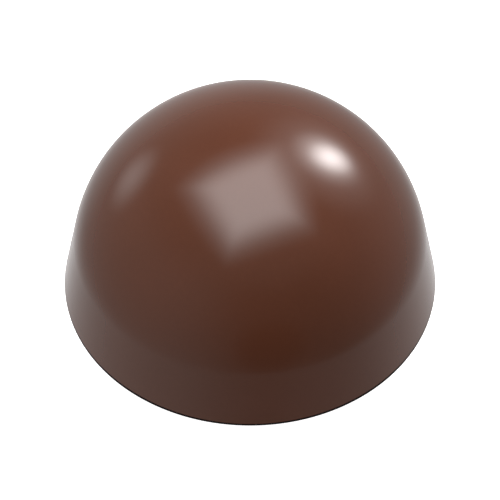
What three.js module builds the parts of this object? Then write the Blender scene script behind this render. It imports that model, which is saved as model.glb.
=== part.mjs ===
import * as THREE from 'three';

// Driving dimensions, in millimetres.
const baseDiameter = 30;
const pralineHeight = 17.3;
const domeRadius = 14.35;
const footHeight = 5.3;
const lowerRimRadius = 0.25;

// Steps round the axis, and along each stretch of the profile.
const turnSteps = 96;
const rimSteps = 4;
const footSteps = 3;
const domeSteps = 28;

// The finish of moulded milk chocolate.
const chocolateColour = 0x4c2e21;
const chocolateRoughness = 0.16;
const chocolateMetalness = 0;

// Where the ball of the dome is centred, and where it meets the foot.
const domeCentreHeight = pralineHeight - domeRadius;
const creaseAngle = Math.asin((footHeight - domeCentreHeight) / domeRadius);
const creaseRadius = domeRadius * Math.cos(creaseAngle);
const footLean = Math.atan2(baseDiameter / 2 - creaseRadius, footHeight);

// Evenly spaced values from one end to the other, both ends included.
function spread(from, to, steps) {
  return Array.from({ length: steps + 1 }, (_, step) => from + ((to - from) * step) / steps);
}

// Points on an arc in the profile's plane, with angles counted from level, outwards.
function arcPoints(centreX, centreY, radius, fromAngle, toAngle, steps) {
  return spread(fromAngle, toAngle, steps).map(
    (angle) => new THREE.Vector2(centreX + radius * Math.cos(angle), centreY + radius * Math.sin(angle)),
  );
}

// The lower rim: a small round between the flat underside and the leaning side of the foot.
// It is widest, at half the base diameter, where it stands upright, and then leans in to the foot.
function lowerRim() {
  const centreX = baseDiameter / 2 - lowerRimRadius;
  const round = (from, to, steps) => arcPoints(centreX, lowerRimRadius, lowerRimRadius, from, to, steps);
  return [...round(-Math.PI / 2, 0, rimSteps), ...round(0, footLean, 1).slice(1)];
}

// The side of the foot: straight, from the top of the rim's round to the crease.
function footSide(rimTop) {
  const crease = new THREE.Vector2(creaseRadius, footHeight);
  return spread(0, 1, footSteps)
    .slice(1)
    .map((share) => rimTop.clone().lerp(crease, share));
}

// The dome: part of a ball, from just above the crease to just short of the top.
function domeArc() {
  return arcPoints(0, domeCentreHeight, domeRadius, creaseAngle, Math.PI / 2, domeSteps).slice(1, -1);
}

// Half of the praline's outline, from the middle of the underside to the top of the dome.
function pralineProfile() {
  const rim = lowerRim();
  const underside = new THREE.Vector2(0, 0);
  const top = new THREE.Vector2(0, pralineHeight);
  return [underside, ...rim, ...footSide(rim[rim.length - 1]), ...domeArc(), top];
}

function chocolate() {
  return new THREE.MeshStandardMaterial({
    color: chocolateColour,
    roughness: chocolateRoughness,
    metalness: chocolateMetalness,
  });
}

// The whole praline, turned so that it stands on its flat underside at height 0.
function praline() {
  const geometry = new THREE.LatheGeometry(pralineProfile(), turnSteps);
  geometry.rotateX(Math.PI / 2);
  const mesh = new THREE.Mesh(geometry, chocolate());
  mesh.name = 'praline';
  return mesh;
}

const model = new THREE.Group();
model.add(praline());

export default model;
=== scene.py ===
import math
import bpy
from mathutils import Matrix, Vector


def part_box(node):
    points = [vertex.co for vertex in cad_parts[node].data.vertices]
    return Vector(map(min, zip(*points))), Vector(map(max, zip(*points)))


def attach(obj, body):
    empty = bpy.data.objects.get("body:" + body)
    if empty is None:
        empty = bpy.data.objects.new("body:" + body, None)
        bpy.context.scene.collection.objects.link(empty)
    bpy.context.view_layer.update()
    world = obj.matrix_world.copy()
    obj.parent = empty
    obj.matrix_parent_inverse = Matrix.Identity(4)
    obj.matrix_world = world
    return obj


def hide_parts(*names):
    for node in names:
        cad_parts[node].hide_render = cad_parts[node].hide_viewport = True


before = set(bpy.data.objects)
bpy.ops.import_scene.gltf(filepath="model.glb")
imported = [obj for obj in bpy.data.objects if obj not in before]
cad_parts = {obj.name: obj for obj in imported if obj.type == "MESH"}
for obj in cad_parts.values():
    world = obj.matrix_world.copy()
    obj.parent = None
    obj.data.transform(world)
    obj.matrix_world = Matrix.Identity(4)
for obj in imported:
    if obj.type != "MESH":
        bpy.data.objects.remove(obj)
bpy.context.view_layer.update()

mm = 0.001  # lengths are in metres
white = (1.0, 1.0, 1.0, 1.0)


def setInput(tree, socket, value):
    # value is another node's socket, or a plain value
    if hasattr(value, "links"):
        tree.links.new(value, socket)
    else:
        socket.default_value = value


def addMath(tree, operation, *values):
    node = tree.nodes.new("ShaderNodeMath")
    node.operation = operation
    for socket, value in zip(node.inputs, values):
        setInput(tree, socket, value)
    return node.outputs[0]


def addUp(tree, first, *others):
    total = first
    for other in others:
        total = addMath(tree, "ADD", total, other)
    return total


def addFade(tree, value, start, end, before=0.0, after=1.0, easing="SMOOTHSTEP"):
    # goes from before to after while value goes from start to end
    node = tree.nodes.new("ShaderNodeMapRange")
    node.interpolation_type = easing
    wanted = {"Value": value, "From Min": start, "From Max": end, "To Min": before, "To Max": after}
    for name, amount in wanted.items():
        setInput(tree, node.inputs[name], amount)
    return node.outputs["Result"]


def addSplit(tree, vector):
    # a vector's three parts
    node = tree.nodes.new("ShaderNodeSeparateXYZ")
    tree.links.new(vector, node.inputs[0])
    return node.outputs


def addScale(tree, vector, factor):
    node = tree.nodes.new("ShaderNodeVectorMath")
    node.operation = "SCALE"
    tree.links.new(vector, node.inputs[0])
    tree.links.new(factor, node.inputs["Scale"])
    return node.outputs[0]


def addColourMix(tree, share, first, second):
    node = tree.nodes.new("ShaderNodeMix")
    node.data_type = "RGBA"
    tree.links.new(share, node.inputs["Factor"])
    node.inputs[6].default_value = first    # the colour pair has the same names as other pairs
    node.inputs[7].default_value = second
    return node.outputs[2]


# The praline's own shape: a ball-shaped dome on a low foot that widens downwards.
boxLow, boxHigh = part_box("praline")
pralineShape = {
    "Base Radius": (boxHigh[0] - boxLow[0]) / 2,
    "Height": boxHigh[2] - boxLow[2],
    "Dome Radius": 14.35 * mm,
    "Foot Height": 5.3 * mm,
    "Rim Radius": 0.25 * mm,      # round along the lower edge
    "Seam Gap": 0.002 * mm,       # points nearer than this are joined
    "Wave Depth": 0.010 * mm,     # slow unevenness left by the mould
    "Wave Size": 9.0 * mm,
    "Wave Detail": 1.0,
    "Wave Seed": 3.0,
}
pralineSteps = {
    "Turn Steps": 288,
    "Underside Rows": 14,
    "Rim Rows": 8,
    "Foot Rows": 40,
    "Dome Rows": 120,
}


def arcTerms(tree, radius, fromAngle, toAngle, share):
    # how far along and up an arc has moved from where it starts
    sweep = addMath(tree, "SUBTRACT", toAngle, fromAngle)
    angle = addMath(tree, "MULTIPLY_ADD", share, sweep, fromAngle)
    moved = []
    for function in ("COSINE", "SINE"):
        now = addMath(tree, function, angle)
        start = addMath(tree, function, fromAngle)
        moved.append(addMath(tree, "MULTIPLY", radius, addMath(tree, "SUBTRACT", now, start)))
    return moved


def outlineAt(tree, size, row, rowEnds):
    # how far out and how high the outline is at a row: each stretch goes on from where the last one ends
    def calc(operation, *values):
        return addMath(tree, operation, *values)

    # the crease where the ball meets the foot, and how far the foot leans
    ballHeight = calc("SUBTRACT", size["Height"], size["Dome Radius"])
    creaseRise = calc("SUBTRACT", size["Foot Height"], ballHeight)
    creaseAngle = calc("ARCSINE", calc("DIVIDE", creaseRise, size["Dome Radius"]))
    creaseRadius = calc("MULTIPLY", size["Dome Radius"], calc("COSINE", creaseAngle))
    footRun = calc("SUBTRACT", size["Base Radius"], creaseRadius)
    footLean = calc("ARCTAN2", footRun, size["Foot Height"])

    # how much of each stretch is done at this row
    underShare = calc("MINIMUM", calc("DIVIDE", row, rowEnds[0]), 1.0)
    stretches = zip(rowEnds, rowEnds[1:])
    rimShare, footShare, domeShare = [addFade(tree, row, *ends, easing="LINEAR") for ends in stretches]

    straightDown, straightUp = -math.pi / 2, math.pi / 2
    flatReach = calc("SUBTRACT", size["Base Radius"], size["Rim Radius"])
    rimOut, rimUp = arcTerms(tree, size["Rim Radius"], straightDown, footLean, rimShare)
    rimTopOut, rimTopUp = arcTerms(tree, size["Rim Radius"], straightDown, footLean, 1.0)
    footOut = calc("MULTIPLY", footShare, calc("SUBTRACT", creaseRadius, calc("ADD", flatReach, rimTopOut)))
    footUp = calc("MULTIPLY", footShare, calc("SUBTRACT", size["Foot Height"], rimTopUp))
    domeOut, domeUp = arcTerms(tree, size["Dome Radius"], creaseAngle, straightUp, domeShare)
    reach = addUp(tree, calc("MULTIPLY", underShare, flatReach), rimOut, footOut, domeOut)
    return reach, addUp(tree, rimUp, footUp, domeUp)


def turnedSheet(tree, size):
    # a flat sheet of rows, bent round the axis and closed at the seam and both poles
    rowEnds = [size["Underside Rows"]]
    for name in ("Rim Rows", "Foot Rows", "Dome Rows"):
        rowEnds.append(addMath(tree, "ADD", rowEnds[-1], size[name]))
    rows = rowEnds[-1]
    sheet = tree.nodes.new("GeometryNodeMeshGrid")
    tree.links.new(addMath(tree, "ADD", size["Turn Steps"], 1), sheet.inputs["Vertices X"])
    tree.links.new(addMath(tree, "ADD", rows, 1), sheet.inputs["Vertices Y"])
    across, up = addSplit(tree, sheet.outputs["UV Map"])[:2]
    turn = addMath(tree, "MULTIPLY", across, math.tau)
    reach, height = outlineAt(tree, size, addMath(tree, "MULTIPLY", up, rows), rowEnds)

    place = tree.nodes.new("ShaderNodeCombineXYZ")
    tree.links.new(addMath(tree, "MULTIPLY", reach, addMath(tree, "COSINE", turn)), place.inputs["X"])
    tree.links.new(addMath(tree, "MULTIPLY", reach, addMath(tree, "SINE", turn)), place.inputs["Y"])
    tree.links.new(height, place.inputs["Z"])
    bend = tree.nodes.new("GeometryNodeSetPosition")
    tree.links.new(sheet.outputs["Mesh"], bend.inputs["Geometry"])
    tree.links.new(place.outputs[0], bend.inputs["Position"])
    close = tree.nodes.new("GeometryNodeMergeByDistance")
    tree.links.new(bend.outputs[0], close.inputs["Geometry"])
    tree.links.new(size["Seam Gap"], close.inputs["Distance"])
    return close.outputs[0]


def addWave(tree, size, geometry):
    # the slow unevenness, always inwards, fading out down the foot
    where = tree.nodes.new("GeometryNodeInputPosition").outputs[0]
    noise = tree.nodes.new("ShaderNodeTexNoise")
    noise.noise_dimensions = "4D"
    tree.links.new(where, noise.inputs["Vector"])
    tree.links.new(size["Wave Seed"], noise.inputs["W"])
    tree.links.new(size["Wave Detail"], noise.inputs["Detail"])
    tree.links.new(addMath(tree, "DIVIDE", 1.0, size["Wave Size"]), noise.inputs["Scale"])
    height = addSplit(tree, where)["Z"]
    rise = addMath(tree, "MINIMUM", addMath(tree, "DIVIDE", height, size["Foot Height"]), 1.0)
    depth = addMath(tree, "MULTIPLY", noise.outputs["Fac"], size["Wave Depth"])
    inwards = addMath(tree, "MULTIPLY", addMath(tree, "MULTIPLY", depth, rise), -1.0)
    facing = tree.nodes.new("GeometryNodeInputNormal").outputs[0]
    wave = tree.nodes.new("GeometryNodeSetPosition")
    tree.links.new(geometry, wave.inputs["Geometry"])
    tree.links.new(addScale(tree, facing, inwards), wave.inputs["Offset"])
    return wave.outputs[0]


def pralineTree():
    tree = bpy.data.node_groups.new("turned praline", "GeometryNodeTree")
    for name, value in pralineShape.items():
        tree.interface.new_socket(name, in_out="INPUT", socket_type="NodeSocketFloat").default_value = value
    for name, value in pralineSteps.items():
        tree.interface.new_socket(name, in_out="INPUT", socket_type="NodeSocketInt").default_value = value
    tree.interface.new_socket("Finish", in_out="INPUT", socket_type="NodeSocketMaterial")
    tree.interface.new_socket("Geometry", in_out="OUTPUT", socket_type="NodeSocketGeometry")
    size = tree.nodes.new("NodeGroupInput").outputs

    geometry = addWave(tree, size, turnedSheet(tree, size))
    for kind in ("GeometryNodeSetShadeSmooth", "GeometryNodeRealizeInstances", "GeometryNodeSetMaterial"):
        node = tree.nodes.new(kind)
        tree.links.new(geometry, node.inputs["Geometry"])
        geometry = node.outputs[0]
    tree.links.new(size["Finish"], node.inputs["Material"])
    tree.links.new(geometry, tree.nodes.new("NodeGroupOutput").inputs[0])
    return tree


def makePraline(finish):
    tree = pralineTree()
    blank = bpy.data.meshes.new("praline blank")
    maker = bpy.data.objects.new("praline maker", blank)
    bpy.context.collection.objects.link(maker)
    turned = maker.modifiers.new("turned praline", "NODES")
    turned.node_group = tree
    wanted = {**pralineShape, **pralineSteps, "Finish": finish}
    for item in tree.interface.items_tree:
        if item.in_out == "INPUT" and item.name in wanted:
            turned[item.identifier] = wanted[item.name]
    shaped = maker.evaluated_get(bpy.context.evaluated_depsgraph_get())
    mesh = bpy.data.meshes.new_from_object(shaped)
    mesh.name = "pralineBody"
    maker.modifiers.remove(turned)
    bpy.data.objects.remove(maker)
    piece = bpy.data.objects.new("pralineBody", mesh)
    bpy.context.collection.objects.link(piece)
    return piece


# Tempered milk chocolate, straight from a polished mould. Each noise has its size and its detail.
chocolateFinish = {
    "deepBrown": (0.0704, 0.0220, 0.0103, 1.0),
    "warmBrown": (0.0748, 0.0234, 0.0111, 1.0),
    "toneRange": (0.35, 0.65),
    "patches": (6.0 * mm, 2.0),
    "specks": (0.35 * mm, 3.0),
    "speckShare": 0.4,
    "roughness": 0.15,
    "roughnessSpread": 0.012,
    "roughnessRange": (0.3, 0.7),
    "grain": (0.5 * mm, 4.0),
    "grainDepth": 0.0006 * mm,
    "gloss": 0.5,
    "refraction": 1.5,
}

# Painted contact shadow: a dark line painted into the colour and gloss of the lower rim, just above the
# table.
paintedRimShadow = {
    "bottom": (0.01 * mm, 0.05 * mm),   # where it fades in
    "top": 0.335 * mm,                  # where it starts to fade out
    "fade": 0.04 * mm,                  # over what height it fades out
    "rise": 0.05 * mm,                  # how much higher it reaches half way round to the sides
    "left": 0.02,                       # share of the colour and gloss left in it
}


def addNoise(tree, vector, look):
    size, detail = look
    node = tree.nodes.new("ShaderNodeTexNoise")
    node.inputs["Scale"].default_value = 1 / size
    node.inputs["Detail"].default_value = detail
    tree.links.new(vector, node.inputs["Vector"])
    return node.outputs["Fac"]


def keptOutsideRimShadow(tree, place):
    # share of the colour and gloss kept outside the painted contact shadow: all of it above the line, next
    # to none in the line
    across, along, height = addSplit(tree, place)
    # squared, corner is 0 at the front, back and sides of the rim and 1 half way between them
    corner = addMath(tree, "MULTIPLY", across, along)
    corner = addMath(tree, "MULTIPLY", corner, 2.0 / pralineShape["Base Radius"] ** 2)
    lift = addMath(tree, "MULTIPLY", addMath(tree, "MULTIPLY", corner, corner), paintedRimShadow["rise"])
    fadeStart = addMath(tree, "ADD", lift, paintedRimShadow["top"])
    fadeEnd = addMath(tree, "ADD", fadeStart, paintedRimShadow["fade"])
    # the painted contact shadow fades out above the line
    below = addFade(tree, height, fadeStart, fadeEnd, 1.0, 0.0)
    inRimShadow = addMath(tree, "MULTIPLY", below, addFade(tree, height, *paintedRimShadow["bottom"]))
    return addMath(tree, "MULTIPLY_ADD", inRimShadow, paintedRimShadow["left"] - 1.0, 1.0)


def makeChocolate():
    look = chocolateFinish
    material = bpy.data.materials.new("glossyMilkChocolate")
    material.use_nodes = True
    tree = material.node_tree
    shader = tree.nodes["Principled BSDF"]
    shader.inputs["Metallic"].default_value = 0.0
    shader.inputs["IOR"].default_value = look["refraction"]
    place = tree.nodes.new("ShaderNodeTexCoord").outputs["Object"]

    # slow patches of warmer and deeper brown, with fine specks of cocoa
    patches = addNoise(tree, place, look["patches"])
    specks = addNoise(tree, place, look["specks"])
    slow = addMath(tree, "MULTIPLY", patches, 1.0 - look["speckShare"])
    tone = addMath(tree, "MULTIPLY_ADD", specks, look["speckShare"], slow)
    brown = addColourMix(tree, addFade(tree, tone, *look["toneRange"]), look["deepBrown"], look["warmBrown"])
    # painted contact shadow: the lower rim's colour and gloss are darkened to a dark line just above the
    # table
    unshadedShare = keptOutsideRimShadow(tree, place)
    tree.links.new(addScale(tree, brown, unshadedShare), shader.inputs["Base Color"])

    # high gloss, a little uneven, and taken away in the painted contact shadow at the rim
    tree.links.new(addMath(tree, "MULTIPLY", unshadedShare, look["gloss"]), shader.inputs["Specular IOR Level"])
    middle, spread = look["roughness"], look["roughnessSpread"]
    uneven = addFade(tree, patches, *look["roughnessRange"], middle - spread, middle + spread)
    tree.links.new(uneven, shader.inputs["Roughness"])

    # the faintest grain under the gloss
    bump = tree.nodes.new("ShaderNodeBump")
    bump.inputs["Strength"].default_value = 1.0
    bump.inputs["Distance"].default_value = look["grainDepth"]
    tree.links.new(addNoise(tree, place, look["grain"]), bump.inputs["Height"])
    tree.links.new(bump.outputs["Normal"], shader.inputs["Normal"])
    return material


# The room round the praline, as the gloss shows it: soft patches of light and dark at 1.0 for white.
# Bearings go round from the camera's side to the right; heights are sines of the angle above level.
# Edge and full are where a patch or band starts and where it is complete.
studioRoom = {
    "walls": 0.419,
    "backWall": {"level": 0.587, "towards": (-0.334, 0.897, -0.289), "edge": 0.80, "full": 1.0},
    "rightWall": {"level": 0.505, "towards": (0.892, 0.418, -0.174), "edge": 0.40, "full": 1.0},
    "leftWall": {"level": 0.46, "towards": (-0.992, -0.087, -0.087), "edge": 0.64, "full": 0.985},
    "darkWall": {
        "level": 0.127,
        "left": (-46.3, 5.8),     # bearings between which it fades in, then out
        "right": (23.7, 151.9),
        "foot": (-0.77, -0.46),   # heights between which it fades in, then out
        "head": (0.40, 0.96),
    },
    "darkest": {"level": 0.05, "towards": (0.203, -0.957, -0.208), "edge": 0.914, "full": 0.99},
    "ceiling": {"level": 0.253, "edge": 0.265, "full": 0.82},
    "nearTable": {"level": 1.36, "edge": -0.446, "full": -1.03},
    "backdrop": 1.0,              # the room as the camera sees it: plain white
    # between these levels the light turns slightly warm
    "warmLights": {"colour": (1.06, 1.018, 1.008, 1.0), "levels": (1.5, 5.0)},
}

# Soft-edged lights in that room. Half sizes are as seen from one unit away.
# The glows are added to what lies behind them; the others cover it.
studioLights = {
    "rightHaze": {
        "shape": "round",
        "glow": True,
        "level": 1.16,
        "towards": (0.565, 0.553, 0.612),
        "along": (0.384, -0.833, 0.399),
        "halfSize": (0.387, 0.422),
        "softness": 0.87,
    },
    "overheadSpill": {
        "shape": "square",
        "glow": True,
        "level": 1.02,
        "towards": (0.0, -0.0136, 1.0),
        "along": (0.912, 0.410, 0.0),
        "halfSize": (0.680, 0.669),
        "softness": 0.255,
    },
    "overheadBox": {
        "shape": "square",
        "glow": False,
        "level": 5.36,
        "towards": (0.0012, -0.0163, 1.0),
        "along": (0.912, 0.410, 0.0),
        "halfSize": (0.430, 0.418),
        "softness": 0.47,
    },
    "backRightGlow": {
        "shape": "round",
        "glow": True,
        "level": 3.54,
        "towards": (0.602, 0.590, 0.539),
        "along": (0.698, -0.716, 0.005),
        "halfSize": (0.224, 0.266),
        "softness": 0.565,
    },
    "backRightLight": {
        "shape": "round",
        "glow": False,
        "level": 22.6,
        "towards": (0.624, 0.595, 0.508),
        "along": (0.688, -0.726, 0.005),
        "halfSize": (0.094, 0.129),
        "softness": 1.18,
    },
    "backLeftLight": {
        "shape": "round",
        "glow": False,
        "level": 1.90,
        "towards": (-0.800, 0.572, 0.178),
        "along": (0.546, 0.817, -0.185),
        "halfSize": (0.160, 0.163),
        "softness": 0.99,
    },
}
leastAhead = 0.05   # a light shows only in directions at least this much towards it


def blend(tree, level, target, share):
    return addMath(tree, "MULTIPLY_ADD", addMath(tree, "SUBTRACT", target, level), share, level)


def alongAxis(tree, direction, axis):
    node = tree.nodes.new("ShaderNodeVectorMath")
    node.operation = "DOT_PRODUCT"
    tree.links.new(direction, node.inputs[0])
    node.inputs[1].default_value = axis
    return node.outputs["Value"]


def facingAxes(spec):
    # sideways, upwards and towards a light, all square to each other
    back = Vector(spec["towards"]).normalized()
    side = Vector(spec["along"])
    side = (side - side.dot(back) * back).normalized()
    return side, back.cross(side), back


def patchShare(tree, direction, spec):
    # how far a direction is inside a soft round patch of wall
    ahead = alongAxis(tree, direction, Vector(spec["towards"]).normalized())
    return addFade(tree, ahead, spec["edge"], spec["full"])


def bandShare(tree, height, spec):
    # the same for a level band; Map Range wants its ends in rising order
    if spec["edge"] < spec["full"]:
        return addFade(tree, height, spec["edge"], spec["full"])
    return addFade(tree, height, spec["full"], spec["edge"], 1.0, 0.0)


def between(tree, value, fadeIn, fadeOut):
    inside = addFade(tree, value, *fadeIn)
    return addMath(tree, "MULTIPLY", inside, addFade(tree, value, *fadeOut, 1.0, 0.0))


def lightShare(tree, direction, spec):
    # how much of a soft-edged light fills a direction, from its two sides seen flat on
    side, up, back = facingAxes(spec)
    ahead = alongAxis(tree, direction, back)
    depth = addMath(tree, "MAXIMUM", ahead, leastAhead)
    sides = []
    for axis, half in zip((side, up), spec["halfSize"]):
        reach = addMath(tree, "MULTIPLY", depth, half)
        ratio = addMath(tree, "DIVIDE", alongAxis(tree, direction, axis), reach)
        sides.append(addMath(tree, "ABSOLUTE", ratio))
    if spec["shape"] == "square":
        far = addMath(tree, "MAXIMUM", *sides)
    else:
        squares = [addMath(tree, "MULTIPLY", value, value) for value in sides]
        far = addMath(tree, "SQRT", addMath(tree, "ADD", *squares))
    soft = spec["softness"]
    inside = addFade(tree, far, 1.0 - soft, 1.0 + soft, 1.0, 0.0)
    return addMath(tree, "MULTIPLY", inside, addMath(tree, "GREATER_THAN", ahead, leastAhead))


def roomLevel(tree, direction):
    room = studioRoom
    right, away, height = addSplit(tree, direction)
    level = room["walls"]
    for part in ("backWall", "rightWall", "leftWall"):
        level = blend(tree, level, room[part]["level"], patchShare(tree, direction, room[part]))
    dark = room["darkWall"]
    bearing = addMath(tree, "ARCTAN2", right, addMath(tree, "MULTIPLY", away, -1.0))
    ends = [[math.radians(angle) for angle in dark[name]] for name in ("left", "right")]
    upright = between(tree, height, dark["foot"], dark["head"])
    inDark = addMath(tree, "MULTIPLY", between(tree, bearing, *ends), upright)
    level = blend(tree, level, dark["level"], inDark)
    level = blend(tree, level, room["darkest"]["level"], patchShare(tree, direction, room["darkest"]))
    for part in ("ceiling", "nearTable"):
        level = blend(tree, level, room[part]["level"], bandShare(tree, height, room[part]))
    for light in studioLights.values():
        share = lightShare(tree, direction, light)
        if light["glow"]:
            level = addMath(tree, "MULTIPLY_ADD", share, light["level"], level)
        else:
            level = blend(tree, level, light["level"], share)
    return level


def makeRoom():
    world = bpy.data.worlds.new("paleStudio")
    bpy.context.scene.world = world
    world.use_nodes = True
    tree = world.node_tree
    direction = tree.nodes.new("ShaderNodeTexCoord").outputs["Generated"]
    seen = tree.nodes.new("ShaderNodeLightPath").outputs["Is Camera Ray"]
    level = blend(tree, roomLevel(tree, direction), studioRoom["backdrop"], seen)
    warm = studioRoom["warmLights"]
    colour = addColourMix(tree, addFade(tree, level, *warm["levels"]), white, warm["colour"])
    background = tree.nodes["Background"]
    tree.links.new(colour, background.inputs["Color"])
    tree.links.new(level, background.inputs["Strength"])


# Lamps that light the chocolate and show in no reflection.
fillLamps = {
    "backLeftFill": {
        "towards": (-0.533, 0.363, 0.764),
        "along": (0.0, 1.0, 0.0),
        "distance": 0.60,
        "size": 0.30,
        "radiance": 4.1,
    },
    "tableBounce": {
        "towards": (0.0, 0.0, -1.0),
        "along": (1.0, 0.0, 0.0),
        "distance": 0.50,
        "size": 5.0,
        "radiance": 0.50,
    },
}


def makeLamp(name, spec):
    light = bpy.data.lights.new(name, "AREA")
    light.shape = "SQUARE"
    light.size = spec["size"]
    light.energy = spec["radiance"] * math.pi * light.size * light.size
    lamp = bpy.data.objects.new(name, light)
    bpy.context.collection.objects.link(lamp)
    axes = facingAxes(spec)
    lamp.location = axes[2] * spec["distance"]
    lamp.rotation_euler = Matrix(axes).transposed().to_euler()
    lamp.visible_camera = False
    lamp.visible_glossy = False


paleFloor = {
    "size": 6.0,
    "colour": (0.8, 0.8, 0.8, 1.0),
    "roughness": 0.9,
    "glow": 1.0,
    "gap": 0.02 * mm,
}


def makeFloor():
    half = paleFloor["size"] / 2
    level = -paleFloor["gap"]
    mesh = bpy.data.meshes.new("studioFloor")
    corners = [(-half, -half, level), (half, -half, level), (half, half, level), (-half, half, level)]
    mesh.from_pydata(corners, [], [(0, 1, 2, 3)])
    material = bpy.data.materials.new("paleFloor")
    material.use_nodes = True
    shader = material.node_tree.nodes["Principled BSDF"]
    shader.inputs["Base Color"].default_value = paleFloor["colour"]
    shader.inputs["Roughness"].default_value = paleFloor["roughness"]
    shader.inputs["Emission Color"].default_value = white
    shader.inputs["Emission Strength"].default_value = paleFloor["glow"]
    mesh.materials.append(material)
    floor = bpy.data.objects.new("studioFloor", mesh)
    bpy.context.collection.objects.link(floor)
    floor.visible_glossy = False    # the room's table and the bounce lamp stand for it
    floor.visible_diffuse = False
    floor.visible_shadow = False


# The photograph's viewpoint.
viewpoint = {
    "lookDown": 49.67,          # degrees above the horizon
    "distance": 371.9 * mm,
    "aimHeight": 3.895 * mm,
    "focalPixels": 4630.0,      # the photograph is 500 pixels wide
    "photoWidth": 500.0,
    "sensorWidth": 36.0,
    "nearest": 0.01,
    "farthest": 20.0,
}


def makeCamera():
    lens = bpy.data.cameras.new("photoCamera")
    lens.sensor_width = viewpoint["sensorWidth"]
    lens.lens = viewpoint["focalPixels"] / viewpoint["photoWidth"] * viewpoint["sensorWidth"]
    lens.clip_start = viewpoint["nearest"]
    lens.clip_end = viewpoint["farthest"]
    camera = bpy.data.objects.new("photoCamera", lens)
    bpy.context.collection.objects.link(camera)
    angle = math.radians(viewpoint["lookDown"])
    back = Vector((0.0, -math.cos(angle), math.sin(angle)))
    camera.location = Vector((0.0, 0.0, viewpoint["aimHeight"])) + back * viewpoint["distance"]
    camera.rotation_euler = (-back).to_track_quat("-Z", "Y").to_euler()
    bpy.context.scene.camera = camera


chocolate = makeChocolate()
praline = makePraline(chocolate)
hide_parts("praline")
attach(praline, "root")
print("praline turned:", len(praline.data.polygons), "faces")

for name, spec in fillLamps.items():
    makeLamp(name, spec)
makeRoom()
makeFloor()
makeCamera()
bpy.context.scene.view_settings.view_transform = "Standard"
print("studio set")
